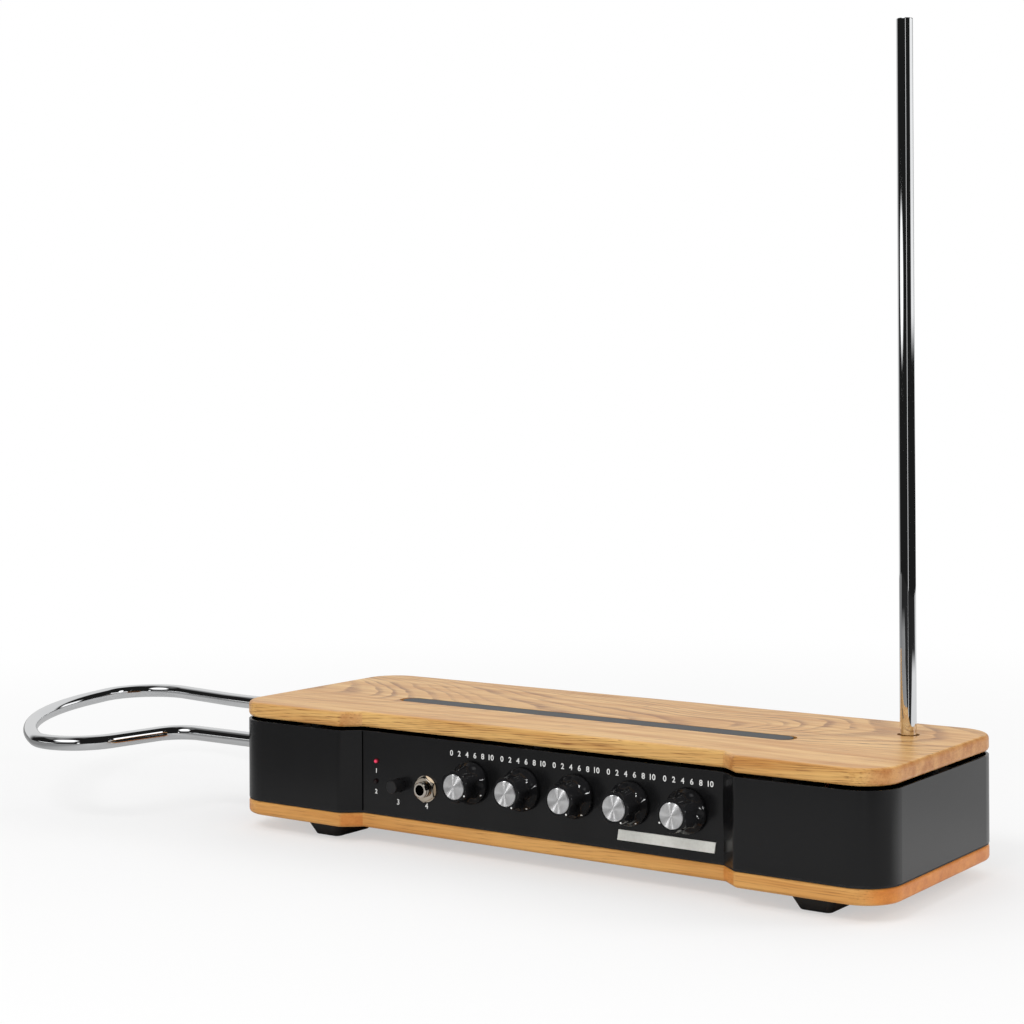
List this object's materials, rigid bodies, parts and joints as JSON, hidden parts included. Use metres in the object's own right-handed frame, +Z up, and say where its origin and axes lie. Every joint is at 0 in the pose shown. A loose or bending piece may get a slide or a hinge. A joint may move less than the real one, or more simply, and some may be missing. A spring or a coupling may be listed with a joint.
{
  "type": "theremin",
  "caption": "Table-top theremin: wooden plates on a black metal body, an upright rod antenna, a looped tube antenna, and a recessed front with knobs, a push button and a headphone socket.",
  "frame": {"origin": "mouth of the stand thread, middle of the cabinet's underside", "axes": "+X to the player's right along the cabinet, +Y away from the player, +Z up"},
  "size_m": [0.6927, 0.2301, 0.4908],
  "materials": {
    "oak": "oiled",
    "dark_strip": "matt",
    "black_sheet": "satin powder coat",
    "soft_black": "matt",
    "steel": "zinc plated",
    "badge_metal": "brushed",
    "zinc": "plated",
    "nickel": "bright nickel",
    "red_lamp": "clear lens, lit",
    "dark_lamp": "clear lens, unlit",
    "button_black": "fine texture",
    "moulded_black": "fine texture",
    "board_green": "solder mask",
    "capacitor_sleeve": "shrink sleeve",
    "winding": "enamelled wire",
    "bright_tube": "bright plated",
    "brass": "machined",
    "lead_sleeve": "insulated wire",
    "knob_black": "gloss",
    "spun_aluminium": "spun"
  },
  "bodies": {
    "cabinet": {"top_plate": "oak", "bottom_plate": "oak", "inlay_strip": "dark_strip", "body_wrap": "black_sheet", "rear_panel": "black_sheet", "top_spacers": "soft_black", "top_screws": "steel", "base_screws": "steel", "stand_flange": "steel", "flange_screws": "steel", "name_plate": "badge_metal", "potentiometers": "zinc", "pot_nuts": "nickel", "power_led": "red_lamp", "mute_led": "dark_lamp", "mute_switch": "moulded_black", "phones_jack": "nickel", "phones_jack_nut": "nickel", "rear_panel_screws": "steel", "rear_jacks": "nickel", "rear_jack_nuts": "nickel", "dc_inlet": "moulded_black", "power_switch": "moulded_black", "main_board": "board_green", "board_standoffs": "nickel", "board_screws": "steel", "ic_packages": "moulded_black", "filter_capacitors": "capacitor_sleeve", "oscillator_coils": "zinc", "pitch_chokes": "winding", "volume_chokes": "winding", "pitch_socket": "brass", "volume_sockets": "brass", "socket_blocks": "moulded_black", "pitch_lead": "lead_sleeve", "volume_lead": "lead_sleeve", "foot_front_left": "soft_black", "foot_front_right": "soft_black", "foot_rear_left": "soft_black", "foot_rear_right": "soft_black"},
    "pitch_antenna": {"pitch_antenna": "bright_tube", "antenna_plug": "bright_tube"},
    "volume_antenna": {"volume_antenna": "bright_tube"},
    "mute_button": {"mute_button": "button_black"},
    "power_rocker": {"power_rocker": "moulded_black"},
    "phones_knob": {"knob_phones": "knob_black", "cap_phones": "spun_aluminium", "shaft_phones": "nickel"},
    "volume_knob": {"knob_volume": "knob_black", "cap_volume": "spun_aluminium", "shaft_volume": "nickel"},
    "pitch_knob": {"knob_pitch": "knob_black", "cap_pitch": "spun_aluminium", "shaft_pitch": "nickel"},
    "waveform_knob": {"knob_waveform": "knob_black", "cap_waveform": "spun_aluminium", "shaft_waveform": "nickel"},
    "brightness_knob": {"knob_brightness": "knob_black", "cap_brightness": "spun_aluminium", "shaft_brightness": "nickel"}
  },
  "joints": [
    {"name": "pitch_antenna_pull", "type": "slide", "parent": "cabinet", "child": "pitch_antenna", "axis": [0, 0, 1], "range_m": [0, 0.044]},
    {"name": "volume_antenna_pull", "type": "slide", "parent": "cabinet", "child": "volume_antenna", "axis": [-1, 0, 0], "range_m": [0, 0.038]},
    {"name": "phones_turn", "type": "hinge", "parent": "cabinet", "child": "phones_knob", "pos_m": [-0.044, -0.07, 0.0364], "axis": [0, 1, 0], "range_deg": [-271, 29]},
    {"name": "volume_turn", "type": "hinge", "parent": "cabinet", "child": "volume_knob", "pos_m": [-0.00675, -0.07, 0.0364], "axis": [0, 1, 0], "range_deg": [-300, 0]},
    {"name": "pitch_turn", "type": "hinge", "parent": "cabinet", "child": "pitch_knob", "pos_m": [0.0305, -0.07, 0.0364], "axis": [0, 1, 0], "range_deg": [-294, 6]},
    {"name": "waveform_turn", "type": "hinge", "parent": "cabinet", "child": "waveform_knob", "pos_m": [0.06775, -0.07, 0.0364], "axis": [0, 1, 0], "range_deg": [-299, 1]},
    {"name": "brightness_turn", "type": "hinge", "parent": "cabinet", "child": "brightness_knob", "pos_m": [0.105, -0.07, 0.0364], "axis": [0, 1, 0], "range_deg": [-29, 271]},
    {"name": "mute_press", "type": "slide", "parent": "cabinet", "child": "mute_button", "axis": [0, 1, 0], "range_m": [0, 0.0015], "stiffness_N_per_m": 600, "springref_m": -0.0005},
    {"name": "power_rock", "type": "hinge", "parent": "cabinet", "child": "power_rocker", "pos_m": [-0.078, 0.0779, 0.0351], "axis": [0, 0, 1], "range_deg": [-18, 0]}
  ]
}
